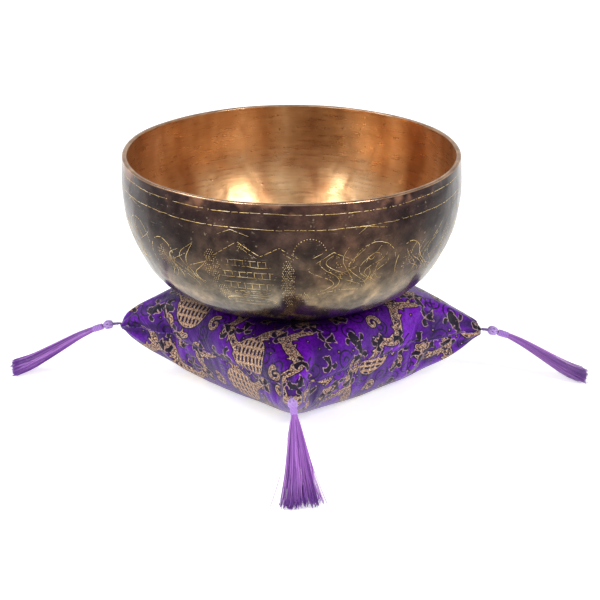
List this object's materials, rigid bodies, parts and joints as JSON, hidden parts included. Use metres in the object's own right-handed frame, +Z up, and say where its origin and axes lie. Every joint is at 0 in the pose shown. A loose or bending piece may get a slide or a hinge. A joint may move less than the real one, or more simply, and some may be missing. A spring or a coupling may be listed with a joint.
{
  "type": "singing bowl",
  "caption": "Hand-hammered bronze singing bowl resting on a square brocade cushion with a tassel at each corner; the bowl lifts off and the tassels swing.",
  "frame": {"origin": "middle of the flat patch that the cushion rests on, on the table under the cushion's centre", "axes": "+Z up, along the bowl's axis; +X towards the cushion's right-hand corner, -Y towards its front corner"},
  "size_m": [0.4356, 0.4355, 0.181],
  "materials": {
    "bronze": "hammered bronze, dark patina outside and polished copper brown inside",
    "brocade": "purple silk brocade with gold and black woven motifs",
    "filling": "soft fibre filling",
    "thread": "purple sewing thread",
    "cord": "twisted lilac rayon cord",
    "binding": "lilac thread wound round the strands",
    "skirt": "glossy lilac rayon strands"
  },
  "bodies": {
    "cushion": {"cushion_top_cover": "brocade", "cushion_bottom_cover": "brocade", "cushion_filling": "filling", "cushion_seam_thread": "thread"},
    "bowl": {"bowl": "bronze"},
    "tassel_front_knot": {"tassel_front_stem": "cord", "tassel_front_knot": "cord"},
    "tassel_front_skirt": {"tassel_front_binding": "binding", "tassel_front_skirt": "skirt"},
    "tassel_right_knot": {"tassel_right_stem": "cord", "tassel_right_knot": "cord"},
    "tassel_right_skirt": {"tassel_right_binding": "binding", "tassel_right_skirt": "skirt"},
    "tassel_back_knot": {"tassel_back_stem": "cord", "tassel_back_knot": "cord"},
    "tassel_back_skirt": {"tassel_back_binding": "binding", "tassel_back_skirt": "skirt"},
    "tassel_left_knot": {"tassel_left_stem": "cord", "tassel_left_knot": "cord"},
    "tassel_left_skirt": {"tassel_left_binding": "binding", "tassel_left_skirt": "skirt"}
  },
  "joints": [
    {"name": "bowl_lift", "type": "slide", "parent": "cushion", "child": "bowl", "axis": [0, 0, 1], "range_m": [0, 0.25]},
    {"name": "tassel_front_swing", "type": "hinge", "parent": "cushion", "child": "tassel_front_knot", "pos_m": [0, -0.1411, 0.04635], "axis": [0, 0, 1], "range_deg": [-50, 50]},
    {"name": "tassel_front_lift", "type": "hinge", "parent": "tassel_front_knot", "child": "tassel_front_skirt", "pos_m": [0.00111, -0.14852, 0.04535], "axis": [-0.989, -0.1478, 0], "range_deg": [0, 90]},
    {"name": "tassel_right_swing", "type": "hinge", "parent": "cushion", "child": "tassel_right_knot", "pos_m": [0.1411, 0, 0.04], "axis": [0, 0, 1], "range_deg": [-50, 50]},
    {"name": "tassel_right_lift", "type": "hinge", "parent": "tassel_right_knot", "child": "tassel_right_skirt", "pos_m": [0.1486, -0.00018, 0.039], "axis": [-0.0244, -0.9997, 0], "range_deg": [0, 90]},
    {"name": "tassel_back_swing", "type": "hinge", "parent": "cushion", "child": "tassel_back_knot", "pos_m": [0, 0.1411, 0.03365], "axis": [0, 0, 1], "range_deg": [-50, 50]},
    {"name": "tassel_back_lift", "type": "hinge", "parent": "tassel_back_knot", "child": "tassel_back_skirt", "pos_m": [-0.00091, 0.14854, 0.03265], "axis": [0.9925, 0.1219, 0], "range_deg": [0, 90]},
    {"name": "tassel_left_swing", "type": "hinge", "parent": "cushion", "child": "tassel_left_knot", "pos_m": [-0.1411, 0, 0.04], "axis": [0, 0, 1], "range_deg": [-50, 50]},
    {"name": "tassel_left_lift", "type": "hinge", "parent": "tassel_left_knot", "child": "tassel_left_skirt", "pos_m": [-0.14858, -0.0005, 0.039], "axis": [-0.0663, 0.9978, 0], "range_deg": [0, 90]}
  ]
}
